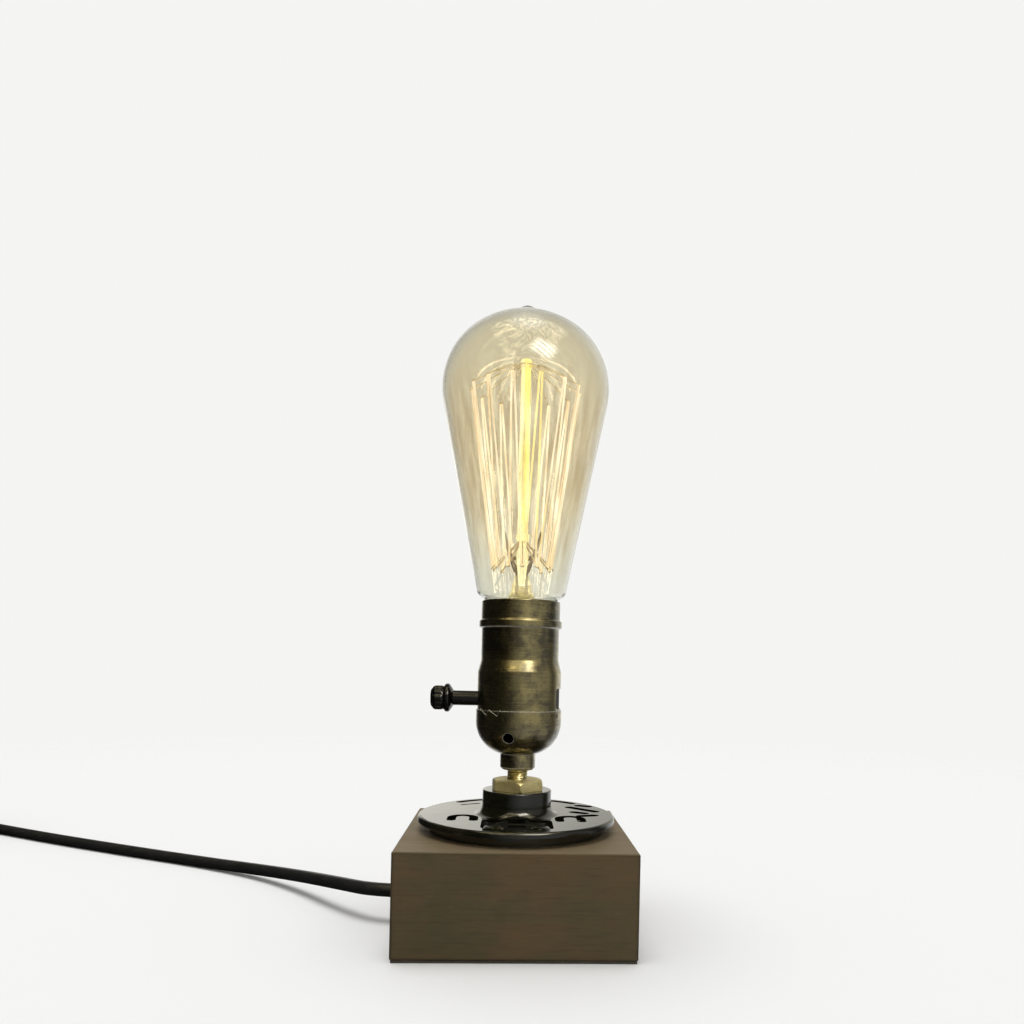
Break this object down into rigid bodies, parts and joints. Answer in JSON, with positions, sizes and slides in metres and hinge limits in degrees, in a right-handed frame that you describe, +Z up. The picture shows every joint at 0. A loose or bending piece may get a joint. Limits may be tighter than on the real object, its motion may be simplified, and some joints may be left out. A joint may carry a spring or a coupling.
{
  "type": "table lamp",
  "caption": "Table lamp: square wooden block, round pierced black plate, brass socket with a turn switch, tapered filament bulb and a long black cord.",
  "frame": {"origin": "centre of the wooden block on the surface that the lamp stands on", "axes": "+Z up along the lamp axis, -Y to the front, the switch points to -X"},
  "size_m": [0.4208, 0.2192, 0.24],
  "materials": {
    "stained_wood": "matt dark stain",
    "felt": "short dark felt",
    "black_enamel": "gloss black",
    "steel": "zinc",
    "bright_brass": "plain brass",
    "antique_brass": "dark antique brass",
    "fibre": "black fibre",
    "phenolic": "moulded",
    "black_gloss": "gloss",
    "wire_sheath": "pvc",
    "bulb_metal": "plain",
    "solder": "dull",
    "amber_glass": "clear amber",
    "clear_glass": "clear",
    "black_glass": "glassy",
    "filament_wire": "glowing",
    "support_wire": "wire",
    "cord_black": "satin"
  },
  "bodies": {
    "lamp": {"base_block": "stained_wood", "base_felt": "felt", "flange_plate": "black_enamel", "flange_screws": "black_enamel", "lamp_nipple": "bright_brass", "hex_nut": "bright_brass", "nipple_washer": "steel", "nipple_nut": "steel", "socket_cap": "antique_brass", "cap_set_screw": "steel", "socket_shell": "antique_brass", "shell_liner": "fibre", "switch_body": "phenolic", "terminal_screws": "bright_brass", "screw_shell": "bright_brass", "centre_contact": "bright_brass", "wire_live": "wire_sheath", "wire_neutral": "wire_sheath", "cord_grommet": "black_gloss", "cord": "cord_black", "cord_coil": "cord_black", "cord_tie": "cord_black", "plug_body": "cord_black", "plug_blades": "bright_brass"},
    "switch_key": {"switch_stem": "black_gloss", "switch_knob": "black_gloss", "switch_cam": "phenolic"},
    "bulb_lifter": {"bulb_contact": "solder"},
    "bulb": {"bulb_glass": "amber_glass", "bulb_base": "bulb_metal", "bulb_insulator": "black_glass", "bulb_stem": "clear_glass", "filament": "filament_wire", "filament_supports": "support_wire", "lead_wires": "support_wire"}
  },
  "joints": [
    {"name": "switch_turn", "type": "hinge", "parent": "lamp", "child": "switch_key", "pos_m": [-0.02, 0, 0.0875], "axis": [-1, 0, 0], "continuous": true},
    {"name": "bulb_lift", "type": "slide", "parent": "lamp", "child": "bulb_lifter", "axis": [0, 0, 1], "range_m": [0, 0.01815]},
    {"name": "bulb_turn", "type": "hinge", "parent": "bulb_lifter", "child": "bulb", "pos_m": [0, 0, 0.098], "axis": [0, 0, 1], "range_deg": [0, 1800]}
  ],
  "couplings": [
    {"joint": "bulb_lift", "follows": "bulb_turn", "m_per_rad": 0.00057757}
  ]
}
